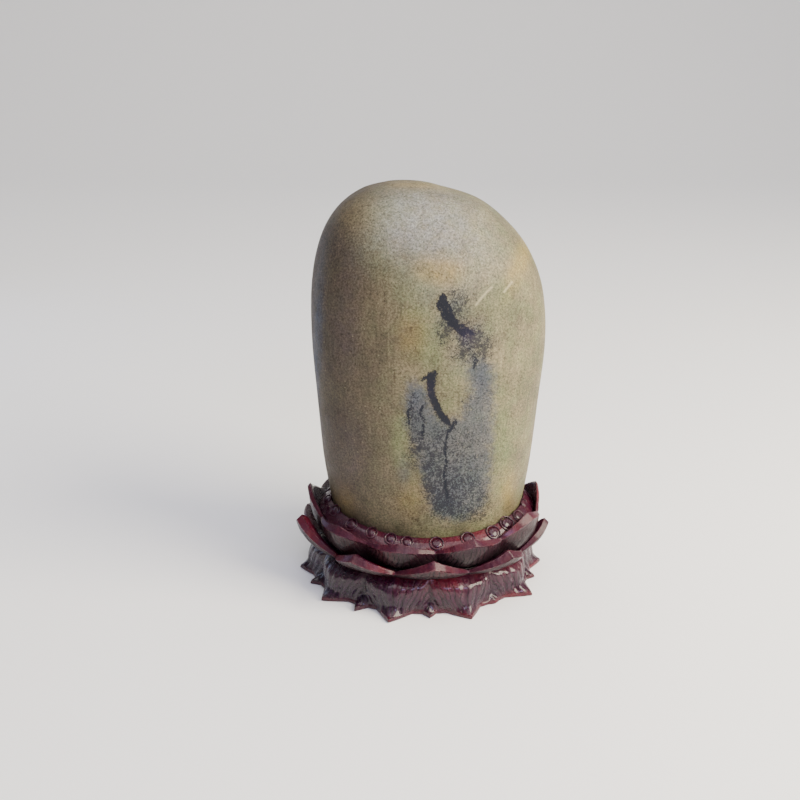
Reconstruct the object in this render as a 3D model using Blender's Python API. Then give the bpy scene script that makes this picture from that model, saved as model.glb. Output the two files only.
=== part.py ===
# A river stone with a rounded top, standing in the seed pod of a carved lotus stand.
# Metres, +Z up. The stand's flat underside is at z = 0, the front of the object faces -Y,
# and the origin is under the middle of the stand.

import math

import bmesh
import bpy
from mathutils import Matrix, Vector

MM = 0.001

# Stone. Each row of its flanks gives the left edge and the right edge as (x, z) in millimetres,
# from the foot in the socket to the cap, which leans to the left and slopes down to the right.
STONE_FOOT = (2.0, 19.0)
STONE_FLANKS = [
    ((-33.0, 20.0), (37.0, 20.0)),
    ((-51.5, 28.0), (55.5, 28.0)),
    ((-58.5, 41.0), (62.5, 41.0)),
    ((-62.0, 58.0), (66.0, 58.0)),
    ((-66.3, 88.0), (69.8, 88.0)),
    ((-68.6, 126.0), (72.6, 126.0)),
    ((-70.2, 166.0), (74.4, 164.0)),
    ((-68.8, 201.0), (71.0, 195.0)),
    ((-63.2, 226.5), (62.5, 217.5)),
    ((-53.5, 243.5), (50.0, 234.0)),
    ((-39.5, 254.5), (32.0, 248.5)),
    ((-24.0, 259.3), (8.0, 256.8)),
]
STONE_TOP = (-12.0, 260.2)
STONE_DEPTH_RATIO = 0.76
# The plan is an ellipse at the foot and grows a little squarer between the two heights.
STONE_SQUARENESS_AT_FOOT = 2.0
STONE_SQUARENESS = 2.4
STONE_SQUARING_FROM = 62.0
STONE_SQUARING_TO = 122.0
# A slow swell round the stone, largest where it is widest.
STONE_SWELL = 0.9
STONE_SWELL_TWIST = 0.021
STONE_WIDEST_HALF = 72.0
STONE_COLUMNS = 40
STONE_ROWS_PER_FLANK = 2

# Stand. Radii are measured along X, and the plan is flattened to PLAN_RATIO along Y.
# Petals are counted from the one just left of the middle of the front, towards +X.
PETALS = 10
COLUMNS_PER_PETAL = 12
PLAN_RATIO = 0.85
FIRST_PETAL_ANGLE = math.radians(-14.6)

# Skirt of hanging petals, whose pointed tips reach the ground, with small tips between them.
# The skirt lies a little forward and to the left of the rest.
SKIRT_CENTRE = (-1.5, -2.2)
SKIRT_TIP_RADII = [85.5, 84.0, 85.0, 82.5, 83.0, 84.0, 83.5, 83.0, 82.5, 84.0]
SKIRT_TIP_SPREAD = 0.53
SKIRT_TIP_SHARPNESS = 1.1
SKIRT_VALLEY_RADIUS = 71.5
SKIRT_VALLEY_SIDE_SPREAD = 3.0
SKIRT_SMALL_TIP_REACHES = [5.5, 1.5, 4.0, 5.0, 5.0, 5.0, 5.0, 5.0, 5.0, 8.0]
SKIRT_SMALL_TIP_SPREAD = 0.2
# The skirt's edge from the ground up: distance from the edge's line, and height.
SKIRT_EDGE = [(-1.0, 0.0), (0.0, 0.9), (-0.7, 2.8)]
# The petals above it: radius at the joints, how far the petal stands out from there, how much of
# that is a narrow ridge (the rest is a round belly), and height.
SKIRT_FLANK = [(70.0, 8.0, 1.0, 7.0), (69.2, 7.6, 0.5, 12.0), (68.0, 5.5, 0.0, 18.5), (66.0, 0.0, 0.0, 22.5)]
SKIRT_RIDGE_POWER = 1.2
SKIRT_BELLY_POWER = 0.8

# Rising petals. Shares of the way from root to rim on the outer face, and from rim to trough on
# the inner face, each as (along the radius, up the height).
PETAL_OUTER_FACE = [(0.5, 0.18), (0.86, 0.55)]
PETAL_INNER_FACE = [(0.26, 0.16), (0.62, 0.68)]
PETAL_ROUNDNESS = 0.8
PETAL_POINT_POWER = 0.9
RIM_DROP = 1.3
RIM_RISE = 0.9
RIM_WIDTH = 1.5
RIM_THINNEST = 0.6

# Outer tier of rising petals, half a petal round from the skirt: radius and height of each tip.
OUTER_ROOT = (65.5, 24.0)
OUTER_TIP_RADII = [86.0, 85.5, 87.0, 84.5, 85.0, 86.0, 85.5, 86.0, 84.0, 88.5]
OUTER_TIP_HEIGHTS = [38.5, 39.5, 39.0, 43.0, 40.0, 38.5, 39.0, 38.0, 35.5, 50.0]
OUTER_JOINT_RADIUS = 74.0
OUTER_JOINT_HEIGHT = 28.5
OUTER_TROUGH = (66.0, 26.3)

# Inner tier of rising petals round the pod, in line with the skirt: how far each tip stands out
# from the pod and its height. The sides of the stand rise round the stone.
INNER_TIP_REACHES = [10.5, 11.5, 9.5, 3.2, 6.5, 9.0, 10.0, 8.0, 7.6, 9.0]
INNER_TIP_HEIGHTS = [46.5, 49.5, 55.5, 60.0, 52.0, 49.5, 48.5, 49.5, 62.5, 48.5]
INNER_JOINT_REACH = 3.5
INNER_JOINT_RISE = 2.2
INNER_ROOT_RISE = 2.0

# Seed pod: a sloping band round the stone, over a socket that follows the stone's foot.
POD_CENTRE = (2.0, 0.0)
POD_RADIUS = 66.5
POD_SIDE_SPREAD = 5.0
POD_EDGE_HEIGHT = 40.5
POD_SIDE_LIFT = 6.5
POD_BAND_SWELL = 1.0
SOCKET_LIP_HEIGHT = 46.5
SOCKET_LIP_SIDE_LIFT = 7.5
SOCKET_GAP = 0.5
LIP_GAP = 0.9
# Rows of STONE_FLANKS that the socket's wall follows, from the top down.
SOCKET_ROWS = [2.0, 1.5, 1.0, 0.5, 0.0]

# Round seeds on the band, as angles from the front towards +X.
SEED_ANGLES = [
    -66, -48, -33.5, -21.5, -12, 4.5, 22.5, 38.5, 49, 59, 76,
    94, 113, 133, 154, 174, 196, 217, 238, 258, 277,
]
SEED_RADIUS = 3.8
SEED_TOP_SHARE = 0.72
SEED_RISE = 0.9
SEED_ROOT = 2.0
SEED_SETTING = 0.9
SEED_SIDES = 8

# Colours are linear.
STONE_COLOUR = (0.23, 0.19, 0.125, 1.0)
STONE_ROUGHNESS = 0.62
STAND_COLOUR = (0.075, 0.012, 0.014, 1.0)
STAND_ROUGHNESS = 0.28
STAND_COAT = 0.5
SHARP_EDGE_ANGLE = math.radians(50.0)


def mix(start, end, share):
    return start + (end - start) * share


def curve_through(points, position):
    # Catmull-Rom curve through the points, read at a position counted in points.
    index = min(int(position), len(points) - 2)
    share = position - index
    before, start, end, after = (
        Vector(points[min(max(index + step, 0), len(points) - 1)]) for step in (-1, 0, 1, 2)
    )
    return 0.5 * (
        2.0 * start
        + (end - before) * share
        + (2.0 * before - 5.0 * start + 4.0 * end - after) * share ** 2
        + (3.0 * start - before - 3.0 * end + after) * share ** 3
    )


def stone_ring(position):
    # Left and right edge of the stone's ring at a position counted in rows of STONE_FLANKS.
    left = curve_through([flank[0] for flank in STONE_FLANKS], position)
    right = curve_through([flank[1] for flank in STONE_FLANKS], position)
    return left, right


def stone_point(left, right, angle, gap=0.0):
    # Point of a ring in the direction of the angle, measured from the front towards +X.
    middle = (left + right) / 2.0
    half_width = (right.x - left.x) / 2.0
    half_depth = half_width * STONE_DEPTH_RATIO
    above_foot = (middle.y - STONE_SQUARING_FROM) / (STONE_SQUARING_TO - STONE_SQUARING_FROM)
    above_foot = min(max(above_foot, 0.0), 1.0)
    power = 2.0 / mix(STONE_SQUARENESS_AT_FOOT, STONE_SQUARENESS, above_foot)
    across = math.copysign(abs(math.sin(angle)) ** power, math.sin(angle))
    forward = math.copysign(abs(math.cos(angle)) ** power, math.cos(angle))
    height = middle.y + (right.y - left.y) / 2.0 * across
    # The swell keeps the river-worn faces from being quite regular. It fades at the foot.
    wave = math.sin(2.0 * angle + height * STONE_SWELL_TWIST)
    swell = STONE_SWELL * above_foot * wave * half_width / STONE_WIDEST_HALF
    x = middle.x + (half_width + gap + swell) * across
    y = -(half_depth + gap + swell) * forward
    return Vector((x, y, height)) * MM


def ring_position_at(height):
    # Row position of the level ring at a height in millimetres, in the lower part of the stone,
    # found by halving.
    low, high = 0.0, 4.0
    for _ in range(40):
        middle = (low + high) / 2.0
        if stone_ring(middle)[0].y < height:
            low = middle
        else:
            high = middle
    return low


def closed_loft(name, rings, first_pole, last_pole):
    # Closed mesh through rings of equal count that run counter-clockwise from above, going up.
    mesh = bpy.data.meshes.new(name)
    shape = bmesh.new()
    loops = [[shape.verts.new(point) for point in ring] for ring in rings]
    count = len(loops[0])
    for lower, upper in zip(loops, loops[1:]):
        for index in range(count):
            following = (index + 1) % count
            shape.faces.new((lower[index], lower[following], upper[following], upper[index]))
    start = shape.verts.new(first_pole)
    end = shape.verts.new(last_pole)
    for index in range(count):
        following = (index + 1) % count
        shape.faces.new((start, loops[0][following], loops[0][index]))
        shape.faces.new((end, loops[-1][index], loops[-1][following]))
    bmesh.ops.triangulate(shape, faces=shape.faces[:])
    shape.to_mesh(mesh)
    shape.free()
    mesh.shade_smooth()
    mesh.set_sharp_from_angle(angle=SHARP_EDGE_ANGLE)
    piece = bpy.data.objects.new(name, mesh)
    bpy.context.scene.collection.objects.link(piece)
    return piece


def plain_material(name, colour, roughness, coat=0.0):
    material = bpy.data.materials.new(name)
    material.use_nodes = True
    shader = material.node_tree.nodes["Principled BSDF"]
    shader.inputs["Base Color"].default_value = colour
    shader.inputs["Roughness"].default_value = roughness
    shader.inputs["Metallic"].default_value = 0.0
    shader.inputs["Coat Weight"].default_value = coat
    material.diffuse_color = colour
    return material


def make_stone():
    steps = (len(STONE_FLANKS) - 1) * STONE_ROWS_PER_FLANK
    angles = [math.tau * column / STONE_COLUMNS for column in range(STONE_COLUMNS)]
    rings = []
    for step in range(steps + 1):
        left, right = stone_ring(step / STONE_ROWS_PER_FLANK)
        rings.append([stone_point(left, right, angle) for angle in angles])
    foot = Vector((STONE_FOOT[0], 0.0, STONE_FOOT[1])) * MM
    top = Vector((STONE_TOP[0], 0.0, STONE_TOP[1])) * MM
    stone = closed_loft("stone", rings, foot, top)
    stone.data.materials.append(plain_material("river_stone", STONE_COLOUR, STONE_ROUGHNESS))
    return stone


def petal_place(column, half_petal_round):
    # How far a column is from the nearest petal tip, 0 at the tip to 1 at the joint, and its petal.
    share = column / COLUMNS_PER_PETAL + (0.5 if half_petal_round else 0.0)
    nearest = round(share)
    return 2.0 * abs(share - nearest), nearest % PETALS


def side_of(angle):
    # 0 at the front and the back of the stand, 1 at its sides.
    return math.sin(angle) ** 2


def skirt_profile(column, angle):
    # Radius and height from the underside up to the top of the hanging petals.
    off_tip, petal = petal_place(column, False)
    tip = max(0.0, 1.0 - off_tip / SKIRT_TIP_SPREAD) ** SKIRT_TIP_SHARPNESS
    small_tip = max(0.0, 1.0 - (1.0 - off_tip) / SKIRT_SMALL_TIP_SPREAD)
    valley = SKIRT_VALLEY_RADIUS + SKIRT_VALLEY_SIDE_SPREAD * side_of(angle)
    edge = mix(valley, SKIRT_TIP_RADII[petal], tip)
    edge += SKIRT_SMALL_TIP_REACHES[column // COLUMNS_PER_PETAL] * small_tip
    ridge = (1.0 - off_tip) ** SKIRT_RIDGE_POWER
    belly = (1.0 - off_tip ** 2) ** SKIRT_BELLY_POWER
    profile = [(edge + outward, height) for outward, height in SKIRT_EDGE]
    for radius, bulge, ridge_share, height in SKIRT_FLANK:
        profile.append((radius + bulge * mix(belly, ridge, ridge_share), height))
    return profile


def rising_petal(root, joint, tip, trough, off_tip):
    # Radius and height up the outer face of a rising petal, over its thick rim and down inside.
    rounded = mix(1.0 - off_tip, 1.0 - off_tip ** 2, PETAL_ROUNDNESS)
    pointed = (1.0 - off_tip) ** PETAL_POINT_POWER
    rim = (mix(joint[0], tip[0], rounded), mix(joint[1], tip[1], pointed))
    thick = mix(RIM_THINNEST, 1.0, pointed)
    outer = [(mix(root[0], rim[0], along), mix(root[1], rim[1], up)) for along, up in PETAL_OUTER_FACE]
    inner = [(mix(rim[0], trough[0], along), mix(rim[1], trough[1], up)) for along, up in PETAL_INNER_FACE]
    outer_edge = (rim[0], rim[1] - RIM_DROP * thick)
    inner_edge = (rim[0] - RIM_WIDTH * thick, rim[1] + RIM_RISE * thick)
    return outer + [outer_edge, inner_edge] + inner


def plan_point(radius, angle, height, centre=(0.0, 0.0)):
    x = centre[0] + radius * math.sin(angle)
    y = centre[1] - radius * PLAN_RATIO * math.cos(angle)
    return Vector((x, y, height)) * MM


def pod_edge(angle):
    return POD_RADIUS + POD_SIDE_SPREAD * side_of(angle), POD_EDGE_HEIGHT + POD_SIDE_LIFT * side_of(angle)


def lip_point(angle):
    # The pod's inner lip runs round the stone and rises at the sides.
    height = SOCKET_LIP_HEIGHT + SOCKET_LIP_SIDE_LIFT * side_of(angle)
    left, right = stone_ring(ring_position_at(height))
    return stone_point(left, right, angle, LIP_GAP)


def stand_column(column):
    # Every point of the stand's surface in one direction, from the underside over the petals
    # and the pod, and down the socket to its floor.
    angle = FIRST_PETAL_ANGLE + math.tau * column / (PETALS * COLUMNS_PER_PETAL)
    profile = skirt_profile(column, angle)
    points = [plan_point(radius, angle, height, SKIRT_CENTRE) for radius, height in profile]

    off_tip, petal = petal_place(column, True)
    joint = (OUTER_JOINT_RADIUS, OUTER_JOINT_HEIGHT)
    tip = (OUTER_TIP_RADII[petal], OUTER_TIP_HEIGHTS[petal])
    profile = rising_petal(OUTER_ROOT, joint, tip, OUTER_TROUGH, off_tip)
    profile = [OUTER_ROOT] + profile + [OUTER_TROUGH]
    points += [plan_point(radius, angle, height) for radius, height in profile]

    off_tip, petal = petal_place(column, False)
    edge = pod_edge(angle)
    root = (OUTER_TROUGH[0], OUTER_TROUGH[1] + INNER_ROOT_RISE)
    joint = (edge[0] + INNER_JOINT_REACH, edge[1] + INNER_JOINT_RISE)
    tip = (edge[0] + INNER_TIP_REACHES[petal], INNER_TIP_HEIGHTS[petal])
    profile = rising_petal(root, joint, tip, edge, off_tip) + [edge]
    points += [plan_point(radius, angle, height, POD_CENTRE) for radius, height in profile]

    lip = lip_point(angle)
    band = (points[-1] + lip) / 2.0
    band.z += POD_BAND_SWELL * MM
    points += [band, lip]
    # The socket's wall and floor follow the stone's own rows, a little outside and below them.
    for row in SOCKET_ROWS:
        left, right = stone_ring(row)
        wall = stone_point(left, right, angle, SOCKET_GAP)
        wall.z -= SOCKET_GAP * MM
        points.append(wall)
    return points


def seed_peg(angle):
    # A short round peg standing square on the pod's band. It is fused to the stand.
    radius, height = pod_edge(angle)
    outer = plan_point(radius, angle, height, POD_CENTRE)
    inner = lip_point(angle)
    slope = (inner - outer).normalized()
    around = slope.cross(Vector((0.0, 0.0, 1.0))).normalized()
    normal = around.cross(slope).normalized()
    if normal.z < 0.0:
        normal.negate()
    middle = (outer + inner) / 2.0 + normal * SEED_SETTING * MM
    turn = Matrix((around, normal.cross(around), normal)).transposed().to_4x4()
    shape = bmesh.new()
    bmesh.ops.create_cone(
        shape,
        cap_ends=True,
        segments=SEED_SIDES,
        radius1=SEED_RADIUS * MM,
        radius2=SEED_RADIUS * SEED_TOP_SHARE * MM,
        depth=(SEED_ROOT + SEED_RISE) * MM,
        matrix=Matrix.Translation(middle + normal * (SEED_RISE - SEED_ROOT) / 2.0 * MM) @ turn,
    )
    bmesh.ops.recalc_face_normals(shape, faces=shape.faces[:])
    return shape


def make_seeds():
    joined = bmesh.new()
    for degrees in SEED_ANGLES:
        seed = seed_peg(math.radians(degrees))
        part = bpy.data.meshes.new("one_seed")
        seed.to_mesh(part)
        seed.free()
        joined.from_mesh(part)
        bpy.data.meshes.remove(part)
    mesh = bpy.data.meshes.new("seeds")
    joined.to_mesh(mesh)
    joined.free()
    seeds = bpy.data.objects.new("seeds", mesh)
    bpy.context.scene.collection.objects.link(seeds)
    seeds.display_type = "WIRE"
    seeds.hide_render = True
    return seeds


def make_stand():
    columns = [stand_column(column) for column in range(PETALS * COLUMNS_PER_PETAL)]
    rings = [list(ring) for ring in zip(*columns)]
    underside = Vector((0.0, 0.0, 0.0))
    foot = Vector((STONE_FOOT[0], 0.0, STONE_FOOT[1] - SOCKET_GAP)) * MM
    stand = closed_loft("lotus_stand", rings, underside, foot)
    stand.data.materials.append(plain_material("rosewood", STAND_COLOUR, STAND_ROUGHNESS, STAND_COAT))
    fuse = stand.modifiers.new("seeds", "BOOLEAN")
    fuse.operation = "UNION"
    fuse.solver = "EXACT"
    fuse.object = make_seeds()
    return stand


for old in list(bpy.data.objects):
    bpy.data.objects.remove(old, do_unlink=True)

make_stone()
make_stand()
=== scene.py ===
# A river stone with natural ink-like figures, standing in a carved and lacquered lotus stand.
# This script gives the looks: fine surfaces, finishes, light and camera. Sizes are in millimetres
# until a mesh is made, which turns them to metres. +Z is up and the front faces -Y.
import math
from functools import partial

import bpy
import numpy as np
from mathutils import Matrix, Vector


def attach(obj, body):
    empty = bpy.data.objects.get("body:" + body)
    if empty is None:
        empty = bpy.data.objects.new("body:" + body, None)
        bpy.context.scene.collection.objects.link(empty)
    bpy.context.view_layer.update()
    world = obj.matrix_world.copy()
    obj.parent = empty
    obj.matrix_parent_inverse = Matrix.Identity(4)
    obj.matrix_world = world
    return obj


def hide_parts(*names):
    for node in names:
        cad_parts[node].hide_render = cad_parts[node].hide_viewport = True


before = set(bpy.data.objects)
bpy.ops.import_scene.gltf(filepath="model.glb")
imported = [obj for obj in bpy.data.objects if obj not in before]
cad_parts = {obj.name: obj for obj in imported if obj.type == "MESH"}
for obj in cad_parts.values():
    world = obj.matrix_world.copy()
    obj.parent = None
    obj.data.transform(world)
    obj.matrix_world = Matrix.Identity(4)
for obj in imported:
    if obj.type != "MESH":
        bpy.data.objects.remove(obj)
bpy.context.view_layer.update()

toMetres = 0.001

# Camera
cameraSetup = {
    "lens": 45.0,               # mm, on a 36 mm sensor
    "sensor": 36.0,
    "imageWidth": 800,          # pixels of the photograph, which is square
    "place": (-15.8, -598.6, 356.8),
    "downward": 21.54,          # degrees below the horizon
}


def toPhoto(points):
    # Pixel of the photograph where the camera sees each point, and the size of a pixel there in mm.
    pitch = math.radians(cameraSetup["downward"])
    away = np.asarray(points) - np.array(cameraSetup["place"])
    depth = away @ np.array((0.0, math.cos(pitch), -math.sin(pitch)))
    upward = away @ np.array((0.0, math.sin(pitch), math.cos(pitch)))
    focal = cameraSetup["lens"] / cameraSetup["sensor"] * cameraSetup["imageWidth"]
    middle = cameraSetup["imageWidth"] / 2
    return middle + focal * away[..., 0] / depth, middle - focal * upward / depth, depth / focal


def mix(start, end, share):
    return start + (end - start) * share


def smoothStep(low, high, value):
    share = np.clip((value - low) / (high - low), 0.0, 1.0)
    return share * share * (3.0 - 2.0 * share)


def curveThrough(rows, positions):
    # Catmull-Rom curve through rows of numbers or arrays, read at positions counted in rows.
    rows = np.asarray(rows, dtype=float)
    positions = np.asarray(positions, dtype=float)
    index = np.minimum(positions.astype(int), len(rows) - 2)
    share = (positions - index).reshape((-1,) + (1,) * (rows.ndim - 1))
    before, start, end, after = (rows[np.clip(index + step, 0, len(rows) - 1)] for step in (-1, 0, 1, 2))
    return 0.5 * (
        2.0 * start
        + (end - before) * share
        + (2.0 * before - 5.0 * start + 4.0 * end - after) * share ** 2
        + (3.0 * start - before - 3.0 * end + after) * share ** 3
    )


def loftMesh(name, rings, startPole, endPole, attributes):
    # Closed smooth mesh through rings of points, with one float attribute for each named array.
    rowCount, columnCount, _ = rings.shape
    points = np.concatenate([rings.reshape(-1, 3), [startPole, endPole]]) * toMetres
    row, column = np.meshgrid(np.arange(rowCount - 1), np.arange(columnCount), indexing="ij")
    following = (column + 1) % columnCount
    quads = np.stack([
        row * columnCount + column,
        row * columnCount + following,
        (row + 1) * columnCount + following,
        (row + 1) * columnCount + column,
    ], axis=-1).reshape(-1, 4)
    first, last = len(points) - 2, len(points) - 1
    lastRow = (rowCount - 1) * columnCount
    fans = [(first, (k + 1) % columnCount, k) for k in range(columnCount)]
    fans += [(last, lastRow + k, lastRow + (k + 1) % columnCount) for k in range(columnCount)]
    mesh = bpy.data.meshes.new(name)
    mesh.from_pydata(points.tolist(), [], quads.tolist() + fans)
    mesh.shade_smooth()
    for label, values in attributes.items():
        values = np.asarray(values, dtype=np.float32)
        padded = np.concatenate([values.reshape(-1), values[0, :1], values[-1, :1]])
        mesh.attributes.new(label, "FLOAT", "POINT").data.foreach_set("value", padded)
    piece = bpy.data.objects.new(name, mesh)
    bpy.context.scene.collection.objects.link(piece)
    return piece


# Materials
def linear(hexColour):
    # sRGB hex to the linear colour that the shaders use.
    channels = [int(hexColour[place:place + 2], 16) / 255 for place in (1, 3, 5)]
    return [c / 12.92 if c <= 0.04045 else ((c + 0.055) / 1.055) ** 2.4 for c in channels] + [1.0]


def addNode(tree, kind, inputs=None, out=0, **settings):
    # Adds one node with its settings, sets or links its inputs, and gives back one output.
    node = tree.nodes.new(kind)
    for name, value in settings.items():
        setattr(node, name, value)
    for socket, value in (inputs or {}).items():
        if isinstance(value, bpy.types.NodeSocket):
            tree.links.new(value, node.inputs[socket])
        else:
            node.inputs[socket].default_value = value
    return node.outputs[out] if node.outputs else node


def newMaterial(name):
    material = bpy.data.materials.new(name)
    material.use_nodes = True
    material.node_tree.nodes.clear()
    return material, partial(addNode, material.node_tree)


def addPatterns(add, place, patterns):
    # Noise patterns by name: (size in mm, detail, roughness), the noise values that are kept,
    # what they become, and how far the pattern is drawn out upwards.
    made = {}
    for name, ((size, detail, rough), kept, becomes, stretch) in patterns.items():
        where = add("ShaderNodeMapping", {"Vector": place, "Scale": (1.0, 1.0, 1.0 / stretch)})
        noise = add("ShaderNodeTexNoise", {"Vector": where, "Scale": 1.0 / (size * toMetres),
                                           "Detail": detail, "Roughness": rough})
        limits = dict(enumerate((*kept, *becomes), 1))
        made[name] = add("ShaderNodeMapRange", {0: noise, **limits})
    return made


def addLayers(add, body, layers):
    # Lays colours over the body one after the other: (cover, strength, colour).
    for cover, strength, colour in layers:
        share = add("ShaderNodeMath", {0: cover, 1: strength}, operation="MULTIPLY", use_clamp=True)
        body = add("ShaderNodeMix", {0: share, 6: body, 7: colour}, 2, data_type="RGBA")
    return body


# River stone
stoneShape = {
    # left and right edge (x, z) of each ring, from the foot in the socket to the cap
    "flanks": [
        ((-33.0, 20.0), (37.0, 20.0)),
        ((-51.5, 28.0), (55.5, 28.0)),
        ((-58.5, 41.0), (62.5, 41.0)),
        ((-62.0, 58.0), (66.0, 58.0)),
        ((-66.3, 88.0), (69.8, 88.0)),
        ((-68.6, 126.0), (72.6, 126.0)),
        ((-70.2, 166.0), (74.4, 164.0)),
        ((-68.8, 201.0), (71.0, 195.0)),
        ((-63.2, 226.5), (62.5, 217.5)),
        ((-53.5, 243.5), (50.0, 234.0)),
        ((-39.5, 254.5), (32.0, 248.5)),
        ((-24.0, 259.3), (8.0, 256.8)),
    ],
    "foot": (2.0, 0.0, 19.0),
    "top": (-12.0, 0.0, 260.2),
    "depthRatio": 0.76,
    "squareness": (2.0, 2.4),       # at the foot and above
    "squaringHeights": (62.0, 122.0),
    "swell": 0.9,
    "swellTwist": 0.021,
    "widestHalf": 72.0,
    "fineAcross": (-0.1, 0.88),     # share of the half width where the figures are
    "fineStep": 0.0085,
    "fineRows": (3.0, 8.0),         # rows of the flanks where the figures are
}


def stoneSurface(positions, angles, gap=0.0):
    # Points of the stone's rings, in mm. Angles run from the front towards +X.
    shape = stoneShape
    flanks = curveThrough(shape["flanks"], positions)[:, None]
    left, right = flanks[..., 0, :], flanks[..., 1, :]
    middle = (left + right) / 2.0
    halfWidth = (right[..., 0] - left[..., 0]) / 2.0
    low, high = shape["squaringHeights"]
    aboveFoot = np.clip((middle[..., 1] - low) / (high - low), 0.0, 1.0)
    power = 2.0 / mix(*shape["squareness"], aboveFoot)
    across = np.sign(np.sin(angles)) * np.abs(np.sin(angles)) ** power
    forward = np.sign(np.cos(angles)) * np.abs(np.cos(angles)) ** power
    height = middle[..., 1] + (right[..., 1] - left[..., 1]) / 2.0 * across
    wave = np.sin(2.0 * angles + height * shape["swellTwist"])
    swell = shape["swell"] * aboveFoot * wave * halfWidth / shape["widestHalf"]
    x = middle[..., 0] + (halfWidth + gap + swell) * across
    y = -(halfWidth * shape["depthRatio"] + gap + swell) * forward
    return np.stack([x, y, height], axis=-1)


def stoneAngles():
    # Columns close together where the figures are, and further apart round the rest.
    low, high = stoneShape["fineAcross"]
    power = stoneShape["squareness"][1] / 2.0
    fine = np.arange(low, high, stoneShape["fineStep"])
    fine = np.arcsin(np.sign(fine) * np.abs(fine) ** power)
    left = np.arcsin(-np.abs(np.linspace(-0.97, low, 32, endpoint=False)) ** power)
    around = np.linspace(fine[-1], left[0] + math.tau, 92)[1:-1]
    return np.concatenate([left, fine, around])


# Natural figures in the stone. Paths are pixels of the photograph, and every stroke is laid on the
# stone where the camera sees it. Widths are in mm.
strokes = {
    "upperBody": {"path": [(443, 297), (443, 305), (449, 316), (455, 325), (462, 331), (467, 338)],
                  "widths": [4.5, 7.4, 6.8, 5.4, 5.6, 2.2]},
    "upperShadow": {"path": [(463, 328), (470, 332), (474, 334)], "widths": [4.6, 3.8, 1.6]},
    "upperLine": {"path": [(467, 338), (470, 347), (474, 356), (477, 362)], "widths": [1.5, 1.1, 1.4, 1.6]},
    "upperFoot": {"path": [(475, 364), (473, 369)], "widths": [1.4, 0.6]},
    "headHook": {"path": [(435, 373), (429, 376), (422, 380)], "widths": [2.4, 3.4, 1.2]},
    "head": {"path": [(434, 375), (431, 381), (431, 388)], "widths": [3.2, 5.2, 4.0]},
    "neck": {"path": [(431, 386), (432, 396), (436, 405), (440, 413), (446, 421), (450, 425)],
             "widths": [3.4, 3.8, 4.4, 4.4, 4.0, 2.0]},
    "neckTurn": {"path": [(455, 422), (452, 427), (449, 432)], "widths": [2.4, 2.2, 1.4]},
    "spine": {"path": [(450, 428), (446, 440), (445, 450), (446, 462), (444, 474), (446, 488), (448, 498)],
              "widths": [1.3, 1.3, 1.6, 1.5, 1.7, 1.9, 1.2]},
    "foldInner": {"path": [(422.5, 406), (420, 414), (424, 419), (423, 430), (422.5, 439.5)],
                  "widths": [1.7, 1.9, 1.3, 1.7, 1.0]},
    "foldOuter": {"path": [(411, 406), (407.5, 414), (410, 425), (411, 434)],
                  "widths": [1.6, 1.9, 1.5, 1.0]},
}
brownLines = {
    "longStreak": {"path": [(384.6, 293), (385.5, 308), (386, 323)], "widths": [0.5, 1.0, 0.4]},
    "shortStreak": {"path": [(411, 328), (414, 338)], "widths": [1.3, 0.7]},
    "smallStreak": {"path": [(416, 348), (418, 355)], "widths": [1.0, 0.5]},
    "lowStreak": {"path": [(393, 365), (395, 383)], "widths": [0.9, 0.5]},
    "footCrack": {"path": [(411, 517), (417, 521), (422, 527)], "widths": [0.6, 0.8, 0.3]},
}
paleLines = {
    "scratch": {"path": [(476, 305), (483, 296), (492, 287)], "widths": [0.4, 0.8, 0.5]},
    "upperScratch": {"path": [(504, 292), (512, 282)], "widths": [0.3, 0.5]},
}
# Outline of the lower figure's wash, clockwise from its top left.
washOutline = [
    (407, 384), (414, 379), (424, 384), (430, 392), (434, 404), (440, 414), (449, 420), (458, 413),
    (464, 400), (466, 385), (466, 368), (474, 360), (488, 358), (495, 365), (497, 385), (497, 420),
    (496, 440), (494, 460), (493, 480), (490, 495), (486, 507), (477, 516), (468, 520), (456, 524),
    (440, 521), (434, 514), (429, 505), (426, 494), (421, 484), (418, 470), (414, 455), (408, 440),
    (404, 424), (403, 410), (404, 396),
]
# Soft patches as (x, y, half width, half height, lean in degrees, strength), in photo pixels.
grainPatches = [
    (456, 312, 14, 28, -28, 0.6), (472, 340, 16, 24, -30, 0.66), (487, 349, 9, 14, -20, 0.5),
    (446, 332, 9, 18, -20, 0.55), (460, 352, 12, 9, 20, 0.5), (452, 292, 9, 6, -20, 0.35),
    (484, 378, 12, 24, 0, 0.2), (484, 410, 13, 28, 0, 0.22), (466, 402, 10, 12, 0, 0.3),
    (412, 416, 9, 18, 0, 0.5), (416, 448, 10, 22, -12, 0.6), (432, 470, 14, 32, -14, 0.62),
    (444, 500, 16, 24, -10, 0.62), (462, 440, 14, 20, 0, 0.36), (462, 480, 16, 34, 0, 0.46),
    (482, 500, 12, 20, 20, 0.5), (484, 455, 12, 30, 0, 0.26), (426, 396, 6, 10, -10, 0.3),
    (470, 515, 18, 8, -10, 0.55), (438, 432, 10, 12, -10, 0.42), (413, 394, 7, 12, 0, 0.28),
]
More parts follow.
